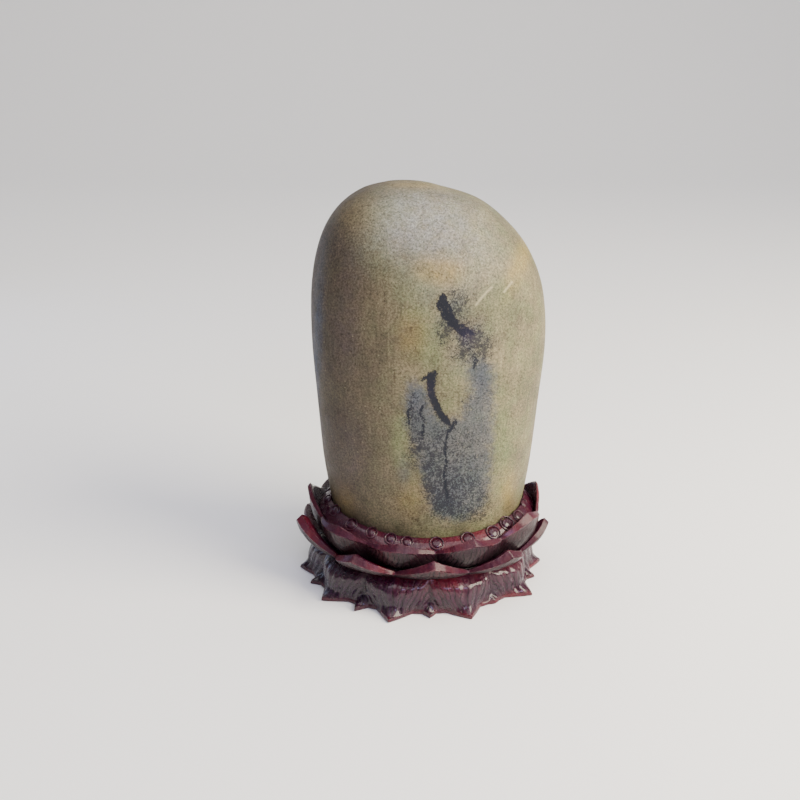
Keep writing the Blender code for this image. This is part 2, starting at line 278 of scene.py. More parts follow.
tintAndLightPatches = {
    "grey": [(404, 470, 6, 14, 0, 0.5), (470, 345, 16, 26, -28, 0.68), (452, 314, 14, 26, -28, 0.6),
             (480, 372, 14, 24, 0, 0.42), (413, 394, 8, 14, 0, 0.55), (452, 498, 26, 26, 0, 0.3)],
    "green": [(400, 440, 9, 26, 0, 0.7), (420, 290, 26, 34, 20, 0.5), (502, 440, 9, 44, 0, 0.7),
              (390, 214, 24, 16, 0, 0.6), (430, 345, 14, 26, 0, 0.55), (452, 382, 12, 22, 0, 0.35),
              (440, 534, 50, 8, 0, 0.2), (500, 300, 14, 30, 0, 0.35), (375, 250, 20, 24, 0, 0.35)],
    # ochre stains; the band along the top rim and the strip near the upper right edge are painted light
    "ochreAndPaintedLight": [(445, 272, 20, 14, 0, 0.7), (424, 268, 12, 12, 0, 0.4), (508, 490, 8, 20, 0, 0.5),
              (412, 335, 14, 22, 0, 0.32), (412, 500, 16, 18, 0, 0.28), (360, 215, 22, 22, 0, 0.25),
              (345, 505, 10, 20, 0, 0.25), (520, 262, 9, 34, -20, 0.6), (425, 183, 40, 6, 0, 0.5)],
    "violet": [(468, 335, 10, 9, 0, 0.9), (356, 262, 18, 26, 0, 0.25), (346, 330, 14, 46, 0, 0.3),
               (350, 455, 16, 40, 0, 0.3), (431, 390, 5, 12, 0, 0.5), (425, 300, 10, 10, 0, 0.2)],
    # painted sheen: pale grey on the crown where the light from above glances off
    "paintedSheen": [(420, 222, 52, 36, 0, 0.75), (455, 262, 46, 34, 30, 0.35)],
    # painted reflection: a blue-grey strip of cool light along the left edge
    "paintedRimReflection": [(315, 380, 5, 105, -3, 0.9)],
}


def lineGap(x, y, lines, pixelSize):
    # Distance in mm from each pixel to the edge of the nearest line, below 0 inside it.
    nearest = np.full(x.shape, 30.0)
    for line in lines.values():
        path, widths = line["path"], line["widths"]
        for (startX, startY), (endX, endY), startWidth, endWidth in zip(path, path[1:], widths, widths[1:]):
            alongX, alongY = endX - startX, endY - startY
            share = ((x - startX) * alongX + (y - startY) * alongY) / (alongX ** 2 + alongY ** 2)
            share = np.clip(share, 0.0, 1.0)
            away = np.hypot(x - startX - share * alongX, y - startY - share * alongY) * pixelSize
            nearest = np.minimum(nearest, away - mix(startWidth, endWidth, share) / 2.0)
    return nearest


def outlineDepth(x, y, outline, pixelSize):
    # Distance in mm inside an outline, below 0 outside it.
    inside = np.zeros(x.shape, dtype=bool)
    nearest = np.full(x.shape, 30.0)
    for (startX, startY), (endX, endY) in zip(outline, outline[1:] + outline[:1]):
        crosses = (startY > y) != (endY > y)
        rise = endY - startY if endY != startY else 1.0
        inside ^= crosses & (x < startX + (endX - startX) * (y - startY) / rise)
        alongX, alongY = endX - startX, endY - startY
        share = ((x - startX) * alongX + (y - startY) * alongY) / (alongX ** 2 + alongY ** 2)
        share = np.clip(share, 0.0, 1.0)
        away = np.hypot(x - startX - share * alongX, y - startY - share * alongY) * pixelSize
        nearest = np.minimum(nearest, away)
    return np.where(inside, nearest, -nearest)


def patchSum(x, y, patches):
    # Soft round patches, added up without going over 1.
    clear = np.ones(x.shape)
    for centreX, centreY, halfWidth, halfHeight, lean, strength in patches:
        turn = math.radians(lean)
        across = ((x - centreX) * math.cos(turn) - (y - centreY) * math.sin(turn)) / halfWidth
        along = ((x - centreX) * math.sin(turn) + (y - centreY) * math.cos(turn)) / halfHeight
        clear *= 1.0 - strength * np.exp(-0.9 * (across ** 2 + along ** 2) ** 1.3)
    return 1.0 - clear


def makeStone():
    low, high = stoneShape["fineRows"]
    lastRow = len(stoneShape["flanks"]) - 1
    positions = np.concatenate([
        np.linspace(0.0, 2.0, 14, endpoint=False),
        np.linspace(2.0, low, 20, endpoint=False),
        np.linspace(low, high, 236, endpoint=False),
        np.linspace(high, lastRow, 40),
    ])
    angles = stoneAngles()
    rings = stoneSurface(positions, angles)
    # the cap over the last ring rounds off to the top
    top = np.array(stoneShape["top"])
    rim = rings[-1]
    caps = []
    for shrink in np.linspace(1.0, 0.0, 12, endpoint=False)[1:]:
        ring = mix(top, rim, shrink)
        ring[:, 2] = mix(top[2], rim[:, 2], shrink ** 2)
        caps.append(ring)
    rings = np.concatenate([rings, np.array(caps)])
    x, y, pixelSize = toPhoto(rings)
    front = smoothStep(8.0, -14.0, rings[..., 1])
    fields = {
        "strokeGap": mix(30.0, lineGap(x, y, strokes, pixelSize), front),
        "brownGap": mix(30.0, lineGap(x, y, brownLines, pixelSize), front),
        "paleGap": mix(30.0, lineGap(x, y, paleLines, pixelSize), front),
        "washDepth": mix(-30.0, outlineDepth(x, y, washOutline, pixelSize), front),
        "grainCover": patchSum(x, y, grainPatches) * front,
    }
    for patchKind, patches in tintAndLightPatches.items():
        fields[patchKind + "Tint"] = patchSum(x, y, patches) * front
    piece = loftMesh("riverStone", rings, stoneShape["foot"], stoneShape["top"], fields)
    piece.data.materials.append(waterWornSandstone())
    return piece


stoneFinish = {
    "olive": "#5e5743",         # the body of the stone
    "buff": "#7b7156",
    "brownAndShade": "#392d27",         # the iron-stained left side, with painted shade on it, darker away from the light on the right
    "green": "#65714a",
    # ochre stains, and painted light along the top rim and upper right edge
    "ochreAndPaintedLight": "#8f7534",
    "violet": "#4c3f4c",
    # painted sheen on the crown
    "paintedSheen": "#8a8b8e",
    # painted reflection of cool light along the left edge
    "paintedRimReflection": "#364357",
    "greyWash": "#323f52",
    "navy": "#050a1a",
    "plum": "#0f0a24",
    "veinBrown": "#2b1d12",
    "chalk": "#cfc39c",
    "brownShadeSide": (0.028, -0.058),   # x in metres where the brown begins and is full; the brown is partly painted shade
    "washEdge": (-2.6, 6.0),    # mm inside the wash's outline where it begins and is full
    "strokeEdge": (1.3, -0.9),  # mm from a stroke's edge where its grains begin and close up
    "pepper": (0.42, 1.55),     # darkening and lightening by the grain
    "speckSize": 2.6,           # mm
    "ior": 1.54,                # quartz
    "specular": 0.22,           # dull, since the river has matted the surface
    "reliefHeight": 0.00025,
    "patterns": {
        "mottle": ((26.0, 4.0, 0.55), (0.35, 0.65), (0.0, 1.0), 1.0),
        "clouds": ((11.0, 3.0, 0.6), (0.4, 0.68), (0.0, 1.0), 1.0),
        "ragged": ((6.0, 4.0, 0.65), (0.3, 0.7), (0.45, 1.35), 1.0),
        "bedding": ((2.4, 4.0, 0.6), (0.3, 0.7), (0.82, 1.16), 11.0),    # faint upright streaks
        "blotches": ((4.2, 4.0, 0.7), (0.3, 0.7), (-3.0, 3.0), 1.0),
        "frayed": ((1.3, 4.0, 0.8), (0.3, 0.7), (-1.1, 1.1), 1.0),
        "grain": ((1.15, 3.0, 0.75), (0.32, 0.68), (0.0, 1.0), 1.0),     # salt and pepper, about 1 mm
        "darkGrain": ((1.0, 3.0, 0.75), (0.32, 0.68), (0.0, 1.0), 1.0),
        "cluster": ((3.4, 4.0, 0.65), (0.35, 0.65), (-0.45, 0.45), 1.0),
        "sheen": ((9.0, 3.0, 0.5), (0.3, 0.7), (0.5, 0.64), 1.0),
    },
}


def waterWornSandstone():
    # Fine-grained sandstone worn by the river: matte with a soft sheen on the crown, partly a painted
    # sheen, a salt and pepper grain of about a millimetre, iron and clay tints, painted shade on the
    # left side, painted light along the top rim and right edge, a painted cool reflection along the left
    # edge, and dark mineral figures made of close-set dark grains.
    finish = stoneFinish
    material, add = newMaterial("waterWornSandstone")
    place = add("ShaderNodeTexCoord", out="Object")
    pattern = addPatterns(add, place, finish["patterns"])
    names = ["strokeGap", "brownGap", "paleGap", "washDepth", "grainCover"]
    names += [name + "Tint" for name in tintAndLightPatches]
    field = {name: add("ShaderNodeAttribute", out="Fac", attribute_name=name) for name in names}
    colour = {name: linear(value) for name, value in finish.items() if str(value).startswith("#")}

    # body colour: broad mottling, a browner left side that is partly painted shade, faint bedding, and tinted
    # patches, some of them painted sheen, reflection and light
    side = add("ShaderNodeSeparateXYZ", {0: place}, "X")
    brownStart, brownFull = finish["brownShadeSide"]
    brownAndShade = add("ShaderNodeMapRange", {0: side, 1: brownStart, 2: brownFull}, interpolation_type="SMOOTHSTEP")
    body = addLayers(add, colour["olive"], [
        (pattern["mottle"], 1.0, colour["buff"]),
        (pattern["clouds"], 0.35, colour["green"]),
        # a darker brown on the left: partly the stone's tint, partly painted shade away from the light
        (brownAndShade, 0.75, colour["brownAndShade"]),
    ])
    body = add("ShaderNodeVectorMath", {0: body, "Scale": pattern["bedding"]}, operation="SCALE")
    # green and violet are tints of the stone; the pale grey crown patches are a painted sheen, the blue-grey
    # left edge strip a painted reflection, and the ochre patches partly painted light
    for name in ("green", "paintedSheen", "ochreAndPaintedLight", "violet", "paintedRimReflection"):
        patch = add("ShaderNodeMath", {0: field[name + "Tint"], 1: pattern["ragged"]}, operation="MULTIPLY")
        body = addLayers(add, body, [(patch, 0.7, colour[name])])

    # grey wash of the lower figure, and soft greys round the upper one
    washEdge = add("ShaderNodeMath", {0: field["washDepth"], 1: pattern["blotches"]}, operation="ADD")
    outer, inner = finish["washEdge"]
    wash = add("ShaderNodeMapRange", {0: washEdge, 1: outer, 2: inner}, interpolation_type="SMOOTHSTEP")
    greys = add("ShaderNodeMath", {0: field["greyTint"], 1: pattern["ragged"]}, operation="MULTIPLY")
    body = addLayers(add, body, [(wash, 0.58, colour["greyWash"]), (greys, 0.62, colour["greyWash"])])

    # salt and pepper grain with scattered specks
    darkest, palest = finish["pepper"]
    pepper = add("ShaderNodeMapRange", {0: pattern["grain"], 3: darkest, 4: palest})
    body = add("ShaderNodeVectorMath", {0: body, "Scale": pepper}, operation="SCALE")
    scale = 1.0 / (finish["speckSize"] * toMetres)
    specks = add("ShaderNodeTexVoronoi", {"Vector": place, "Scale": scale}).node
    speckCore = add("ShaderNodeMapRange", {0: specks.outputs["Distance"], 1: 0.26, 2: 0.14})
    speckPick = add("ShaderNodeSeparateColor", {0: specks.outputs["Color"]}).node
    darkPick = add("ShaderNodeMapRange", {0: speckPick.outputs[0], 1: 0.72, 2: 0.9})
    palePick = add("ShaderNodeMapRange", {0: speckPick.outputs[1], 1: 0.8, 2: 0.95})
    darkSpeck = add("ShaderNodeMath", {0: speckCore, 1: darkPick}, operation="MULTIPLY")
    paleSpeck = add("ShaderNodeMath", {0: speckCore, 1: palePick}, operation="MULTIPLY")
    body = addLayers(add, body, [(darkSpeck, 0.5, colour["veinBrown"]), (paleSpeck, 0.14, colour["chalk"])])

    # dark grains: the more cover, the more of them, up to solid strokes
    frayedGap = add("ShaderNodeMath", {0: field["strokeGap"], 1: pattern["frayed"]}, operation="ADD")
    faint, solid = finish["strokeEdge"]
    stroke = add("ShaderNodeMapRange", {0: frayedGap, 1: faint, 2: solid}, interpolation_type="SMOOTHSTEP")
    washGrains = add("ShaderNodeMath", {0: wash, 1: 0.04, 2: field["grainCover"]}, operation="MULTIPLY_ADD")
    cover = add("ShaderNodeMath", {0: stroke, 1: washGrains}, operation="MAXIMUM")
    clustered = add("ShaderNodeMath", {0: pattern["cluster"], 1: washGrains}, operation="MULTIPLY")
    cover = add("ShaderNodeMath", {0: cover, 1: clustered}, operation="ADD")
    cover = add("ShaderNodeMath", {0: cover, 1: 1.12, 2: -0.1}, operation="MULTIPLY_ADD")
    dark = add("ShaderNodeMath", {0: cover, 1: pattern["darkGrain"]}, operation="SUBTRACT")
    dark = add("ShaderNodeMapRange", {0: dark, 1: -0.2, 2: 0.2}, interpolation_type="SMOOTHSTEP")
    depth = add("ShaderNodeMapRange", {0: stroke, 3: 0.76, 4: 0.97})
    dark = add("ShaderNodeMath", {0: dark, 1: depth}, operation="MULTIPLY")
    mineral = addLayers(add, colour["navy"], [(field["violetTint"], 1.0, colour["plum"])])
    body = add("ShaderNodeMix", {0: dark, 6: body, 7: mineral}, 2, data_type="RGBA")

    # hair-thin brown veins and pale scratches
    veinGap = add("ShaderNodeMath", {0: field["brownGap"], 1: pattern["frayed"]}, operation="ADD")
    vein = add("ShaderNodeMapRange", {0: veinGap, 1: 0.5, 2: -0.2})
    scratch = add("ShaderNodeMapRange", {0: field["paleGap"], 1: 0.8, 2: -0.3})
    body = addLayers(add, body, [(vein, 0.7, colour["veinBrown"]), (scratch, 0.4, colour["chalk"])])

    # fine relief: the grain, with small pits at the specks and veins
    pits = add("ShaderNodeMath", {0: darkSpeck, 1: vein}, operation="MAXIMUM")
    relief = add("ShaderNodeMath", {0: pits, 1: -0.8, 2: pattern["grain"]}, operation="MULTIPLY_ADD")
    bump = add("ShaderNodeBump", {"Strength": 0.35, "Distance": finish["reliefHeight"], "Height": relief})
    surface = add("ShaderNodeBsdfPrincipled", {"Base Color": body, "Roughness": pattern["sheen"],
                                               "IOR": finish["ior"], "Normal": bump,
                                               "Specular IOR Level": finish["specular"]})
    add("ShaderNodeOutputMaterial", {"Surface": surface})
    return material


stone = makeStone()
print("stone:", len(stone.data.polygons), "faces")

# Lotus stand
standShape = {
    "petals": 10,
    "columnsPerPetal": 50,
    "planRatio": 0.85,          # depth of the oval plan, radii are along X
    "firstPetal": -14.6,        # degrees from the front towards +X
    "skirtCentre": (-1.5, -2.2),
    "skirtTips": [85.5, 84.0, 85.0, 82.5, 83.0, 84.0, 83.5, 83.0, 82.5, 84.0],
    "skirtTipSpread": 0.53,
    "skirtTipSharpness": 1.1,
    "skirtValley": (71.5, 3.0),         # radius at the front, and more at the sides
    "skirtSmallTips": [5.5, 1.5, 4.0, 5.0, 5.0, 5.0, 5.0, 5.0, 5.0, 8.0],
    "skirtSmallTipSpread": 0.2,
    "skirtEdge": [(-1.0, 0.0), (0.0, 0.9), (-0.7, 2.8)],
    # radius at the joints, bulge, share of the bulge that is a ridge, and height
    "skirtFlank": [
        (70.0, 8.0, 1.0, 7.0), (69.2, 7.6, 0.5, 12.0), (68.0, 5.5, 0.0, 18.5), (66.0, 0.0, 0.0, 22.5),
    ],
    "skirtRidgePower": 1.2,
    "skirtBellyPower": 0.8,
    # rising petals: shares of the way up the outer face and down the inner face
    "outerFace": [(0.5, 0.18), (0.86, 0.55)],
    "innerFace": [(0.26, 0.16), (0.62, 0.68)],
    "petalRoundness": 0.8,
    "petalPointPower": 0.9,
    "rim": (1.3, 0.9, 1.5),     # drop, rise and width
    "leaf": (1.5, 3.6),         # more rise and width at the front, where the rim opens into a leaf
    "leafPower": 0.75,
    "rimThinnest": 0.6,
    "outerRoot": (65.5, 24.0),
    "outerTips": [86.0, 85.5, 87.0, 84.5, 85.0, 86.0, 85.5, 86.0, 84.0, 88.5],
    "outerTipHeights": [38.5, 39.5, 39.0, 43.0, 40.0, 38.5, 39.0, 38.0, 35.5, 50.0],
    "outerJoint": (74.0, 28.5),
    "outerTrough": (66.0, 26.3),
    "innerTipReaches": [10.5, 11.5, 9.5, 3.2, 6.5, 9.0, 10.0, 8.0, 7.6, 9.0],
    "innerTipHeights": [46.5, 49.5, 55.5, 60.0, 52.0, 49.5, 48.5, 49.5, 62.5, 48.5],
    "innerJoint": (3.5, 2.2),
    "innerRootRise": 2.0,
    "podCentre": (2.0, 0.0),
    "podEdge": (66.5, 5.0, 40.5, 6.5),  # radius, more at the sides, height, more at the sides
    "podBandSwell": 1.0,
    "socketLip": (46.5, 7.5),
    "socketGap": 0.5,
    "lipGap": 0.9,
    "socketRows": [2.0, 1.5, 1.0, 0.5, 0.0],
}


carvingFields = ("skirtFace", "outerFace", "rimFace", "hollowShade", "vein", "upFace", "petalTone")


def planPoints(radius, angle, height, centre=(0.0, 0.0)):
    x = centre[0] + radius * np.sin(angle)
    y = centre[1] - radius * standShape["planRatio"] * np.cos(angle)
    return np.stack(np.broadcast_arrays(x, y, height), axis=-1)


def petalPlace(share):
    # Signed distance from the nearest petal tip, 1 at the joints, and the number of that petal.
    nearest = np.round(share)
    return 2.0 * (share - nearest), nearest.astype(int) % standShape["petals"]


def ringHeightRows(height):
    # Row position of the stone's level ring at each height, in its lower part.
    rows = np.linspace(0.0, 4.0, 400)
    heights = curveThrough(stoneShape["flanks"], rows)[:, 0, 1]
    return np.interp(height, heights, rows)


def lipPoints(angle):
    # The pod's inner lip runs round the stone and rises at the sides.
    height, sideLift = standShape["socketLip"]
    rows = ringHeightRows(height + sideLift * np.sin(angle) ** 2)
    return np.array([stoneSurface([row], np.array([turn]), standShape["lipGap"])[0, 0]
                     for row, turn in zip(rows, angle)])


def bandRows(angle):
    # Edge, middle and lip of the pod's sloping band.
    radius, sideSpread, height, sideLift = standShape["podEdge"]
    side = np.sin(angle) ** 2
    edge = planPoints(radius + sideSpread * side, angle, height + sideLift * side, standShape["podCentre"])
    lip = lipPoints(angle)
    return np.stack([edge, (edge + lip) / 2.0 + np.array((0.0, 0.0, standShape["podBandSwell"])), lip])


def risingPetal(root, joint, tip, trough, off, front):
    # Radius and height of the rows of a rising petal: outer face, rim, and inner face.
    shape = standShape
    away = np.abs(off)
    rounded = mix(1.0 - away, 1.0 - away ** 2, shape["petalRoundness"])
    pointed = (1.0 - away) ** shape["petalPointPower"]
    rim = (mix(joint[0], tip[0], rounded), mix(joint[1], tip[1], pointed))
    thick = mix(shape["rimThinnest"], 1.0, pointed)
    drop, rise, width = shape["rim"]
    outer = [(mix(root[0], rim[0], along), mix(root[1], rim[1], up)) for along, up in shape["outerFace"]]
    leaf = front * (1.0 - away) ** shape["leafPower"]
    leafRise, leafWidth = shape["leaf"]
    outerEdge = (rim[0], rim[1] - drop * thick)
    innerEdge = (rim[0] - width * thick - leafWidth * leaf, rim[1] + rise * thick + leafRise * leaf)
    inner = [(mix(innerEdge[0], trough[0], along), mix(innerEdge[1], trough[1], up))
             for along, up in shape["innerFace"]]
    return [root] + outer + [outerEdge], [outerEdge, innerEdge], [innerEdge] + inner + [trough]


def standRings():
    # Every ring of the stand from the underside over the petals and the pod and down the socket,
    # with the carving fields of each point.
    shape = standShape
    perPetal, petals = shape["columnsPerPetal"], shape["petals"]
    share = np.arange(petals * perPetal) / perPetal
    angle = math.radians(shape["firstPetal"]) + math.tau * share / petals
    side = np.sin(angle) ** 2
    front = smoothStep(-0.1, 0.7, np.cos(angle))
    off, petal = petalPlace(share)
    offHalf, petalHalf = petalPlace(share + 0.5)

    # skirt
    away = np.abs(off)
    tip = np.maximum(0.0, 1.0 - away / shape["skirtTipSpread"]) ** shape["skirtTipSharpness"]
    smallTip = np.maximum(0.0, 1.0 - (1.0 - away) / shape["skirtSmallTipSpread"])
    valley = shape["skirtValley"][0] + shape["skirtValley"][1] * side
    edge = mix(valley, np.array(shape["skirtTips"])[petal], tip)
    edge += np.array(shape["skirtSmallTips"])[share.astype(int)] * smallTip
    ridge = (1.0 - away) ** shape["skirtRidgePower"]
    belly = (1.0 - away ** 2) ** shape["skirtBellyPower"]
    centre = shape["skirtCentre"]
    foot = [planPoints(edge + outward, angle, height, centre) for outward, height in shape["skirtEdge"]]
    flank = [foot[-1]] + [
        planPoints(radius + bulge * mix(belly, ridge, ridgeShare), angle, height, centre)
        for radius, bulge, ridgeShare, height in shape["skirtFlank"]
    ]

    # two tiers of rising petals
    tipRadius = np.array(shape["outerTips"])[petalHalf]
    tipHeight = np.array(shape["outerTipHeights"])[petalHalf]
    outerTier = risingPetal(shape["outerRoot"], shape["outerJoint"], (tipRadius, tipHeight),
                            shape["outerTrough"], offHalf, front)
    radius, sideSpread, height, sideLift = shape["podEdge"]
    podEdge = (radius + sideSpread * side, height + sideLift * side)
    reach, rise = shape["innerJoint"]
    root = (shape["outerTrough"][0], shape["outerTrough"][1] + shape["innerRootRise"])
    tipRadius = podEdge[0] + np.array(shape["innerTipReaches"])[petal]
    tipHeight = np.array(shape["innerTipHeights"])[petal]
    joint = (podEdge[0] + reach, podEdge[1] + rise)
    innerTier = risingPetal(root, joint, (tipRadius, tipHeight), podEdge, off, front)

    # socket, which follows the stone's own rows
    socket = []
    for row in shape["socketRows"]:
        wall = stoneSurface([row], angle, shape["socketGap"])[0]
        socket.append(wall - np.array((0.0, 0.0, shape["socketGap"])))

    # sections: control rows, number of rows made of them, and the kind of face
    sections = [(foot, 6, "under", off), (flank, 36, "skirt", off)]
    for tier, centre, tierOff in ((outerTier, (0.0, 0.0), offHalf), (innerTier, shape["podCentre"], off)):
        faces = zip(tier, (24, 7, 20), ("outside", "rim", "inside"))
        for rows, count, kind in faces:
            controls = [planPoints(rowRadius, angle, rowHeight, centre) for rowRadius, rowHeight in rows]
            sections.append((controls, count, kind, tierOff))
    sections.append((list(bandRows(angle)), 14, "band", off))
    sections.append((socket, 8, "socket", off))

    rings, fields = [], {name: [] for name in carvingFields}
    for controls, count, kind, tierOff in sections:
        positions = np.linspace(0.0, len(controls) - 1.0, count)
        rows = curveThrough(controls, positions)
        up = np.linspace(0.0, 1.0, count)[:, None] * np.ones(len(angle))
        inner = np.sin(up * math.pi) ** 0.5     # fades a face's own carving at its borders
        tone = np.sin(np.round(share + (0.0 if tierOff is off else 0.5)) * 12.9898 + len(rings)) * 0.5 + 0.5
        # veins run together towards the petal's tip, which is at the foot of the skirt
        spread = 1.0 + 0.9 * (1.0 - up) ** 1.4 if kind == "skirt" else 1.0 + 0.7 * up ** 1.6
        rings.append(rows)
        fields["skirtFace"].append(inner * (1.0 - 0.7 * up) * (kind == "skirt"))
        fields["outerFace"].append(inner * (kind == "outside"))
        fields["rimFace"].append(np.ones(up.shape) * (kind == "rim"))
        # painted shade: darker down into the troughs between the tiers of petals
        shade = {"outside": (1.0 - up) ** 0.35, "inside": up}
        fields["hollowShade"].append(shade.get(kind, 0.0 * up))
        fields["vein"].append(tierOff * spread)
        fields["upFace"].append(up)
        fields["petalTone"].append(tone * np.ones(up.shape))
    return np.concatenate(rings), {name: np.concatenate(values) for name, values in fields.items()}


carving = {
    "Rib Depth": 0.0014,        # metres, flutes on the skirt's petals
    "Ribs": 2.5,                # on each half of a petal
    "Dent Depth": 0.0005,       # the slight unevenness of hand carving
    "Dent Size": 0.013,
}


def addGroup(name, inputs):
    # Geometry tree with a geometry input and output and named numbers.
    tree = bpy.data.node_groups.new(name, "GeometryNodeTree")
    tree.interface.new_socket("Geometry", in_out="INPUT", socket_type="NodeSocketGeometry")
    for label, value in inputs.items():
        tree.interface.new_socket(label, in_out="INPUT", socket_type="NodeSocketFloat").default_value = value
    tree.interface.new_socket("Geometry", in_out="OUTPUT", socket_type="NodeSocketGeometry")
    return tree, partial(addNode, tree)


def runTree(piece, tree, inputs):
    # Runs the tree on the piece, and leaves its result as the piece's own plain mesh.
    modifier = piece.modifiers.new(tree.name, "NODES")
    modifier.node_group = tree
    for socket in tree.interface.items_tree:
        if socket.in_out == "INPUT" and socket.name in inputs:
            modifier[socket.identifier] = inputs[socket.name]
    bpy.context.view_layer.update()
    graph = bpy.context.evaluated_depsgraph_get()
    evaluated = piece.evaluated_get(graph)
    made = bpy.data.meshes.new_from_object(evaluated, preserve_all_data_layers=True, depsgraph=graph)
    piece.modifiers.remove(modifier)
    piece.data = made
    made.name = piece.name
    return piece


def carvingTree(material):
    # Carves ribs that follow the veins of the skirt's petals, and the dents of the gouge.
    tree, add = addGroup("carving", carving)
    inlet = add("NodeGroupInput").node
    vein = add("GeometryNodeInputNamedAttribute", {"Name": "vein"})
    skirt = add("GeometryNodeInputNamedAttribute", {"Name": "skirtFace"})
    place = add("GeometryNodeInputPosition")
    normal = add("GeometryNodeInputNormal")
    wobble = add("ShaderNodeTexNoise", {"Vector": place, "Scale": 60.0, "Detail": 2.0})
    turns = add("ShaderNodeMath", {0: vein, 1: inlet.outputs["Ribs"]}, operation="MULTIPLY")
    turns = add("ShaderNodeMath", {0: wobble, 1: 1.2, 2: turns}, operation="MULTIPLY_ADD")
    turns = add("ShaderNodeMath", {0: turns, 1: math.pi}, operation="MULTIPLY")
    rib = add("ShaderNodeMath", {0: turns}, operation="COSINE")
    rib = add("ShaderNodeMath", {0: rib}, operation="ABSOLUTE")
    rib = add("ShaderNodeMath", {0: rib, 1: -1.0}, operation="ADD")
    rib = add("ShaderNodeMath", {0: rib, 1: skirt}, operation="MULTIPLY")
    rib = add("ShaderNodeMath", {0: rib, 1: inlet.outputs["Rib Depth"]}, operation="MULTIPLY")
    scale = add("ShaderNodeMath", {0: 1.0, 1: inlet.outputs["Dent Size"]}, operation="DIVIDE")
    dent = add("ShaderNodeTexNoise", {"Vector": place, "Scale": scale, "Detail": 2.0})
    dent = add("ShaderNodeMath", {0: dent, 1: -0.5}, operation="ADD")
    depth = inlet.outputs["Dent Depth"]
    carved = add("ShaderNodeMath", {0: dent, 1: depth, 2: rib}, operation="MULTIPLY_ADD")
    offset = add("ShaderNodeVectorMath", {0: normal, "Scale": carved}, operation="SCALE")
    split = add("ShaderNodeSeparateXYZ", {0: place}, "Z")
    above = add("ShaderNodeMapRange", {0: split, 1: 0.0005, 2: 0.004})
    offset = add("ShaderNodeVectorMath", {0: offset, "Scale": above}, operation="SCALE")
    shape = add("GeometryNodeSetPosition", {"Geometry": inlet.outputs["Geometry"], "Offset": offset})
    shape = add("GeometryNodeRealizeInstances", {0: shape})
    shape = add("GeometryNodeSetMaterial", {"Geometry": shape, "Material": material})
    add("NodeGroupOutput", {0: shape})
    return tree


standFinish = {
    "wine": "#36071a",          # lacquer over the reddish wood
    # painted shade in the troughs, and the dark of the cut lines
    "deep": "#0d0307",
    "bright": "#620f1c",
    "plum": "#240a29",
    "aubergine": "#190722",     # the darker skirt
    "dust": "#1d1b1c",          # dusty outer faces
    "worn": "#8d6468",          # worn rims
    "ior": 1.45,
    "specular": 0.2,            # the lacquer over it gives the gloss
    "coat": 0.6,
    "coatRoughness": 0.14,
    "dullCoat": 0.05,           # what is left of the coat on rims and dusty faces
    "dullRoughness": 0.35,      # added there
    "wornFrom": 0.36,           # share of the rim's half width that stays unworn, up to 0.5
    "cutRelief": 2.4,
    "reliefHeight": 0.0007,
    "veins": 5.0,               # fine cut lines on each half of a petal
    "patterns": {
        "tone": ((22.0, 3.0, 0.5), (0.35, 0.65), (0.0, 1.0), 1.0),
        "stain": ((7.0, 4.0, 0.6), (0.35, 0.7), (0.0, 1.0), 1.0),
        "wear": ((2.6, 4.0, 0.65), (0.45, 0.66), (0.0, 1.0), 1.0),
        "shake": ((9.0, 3.0, 0.5), (0.3, 0.7), (-0.09, 0.09), 1.0),
        "pores": ((0.8, 3.0, 0.6), (0.3, 0.7), (0.0, 0.35), 1.0),
        "gloss": ((5.0, 3.0, 0.6), (0.3, 0.7), (0.22, 0.38), 1.0),
    },
}


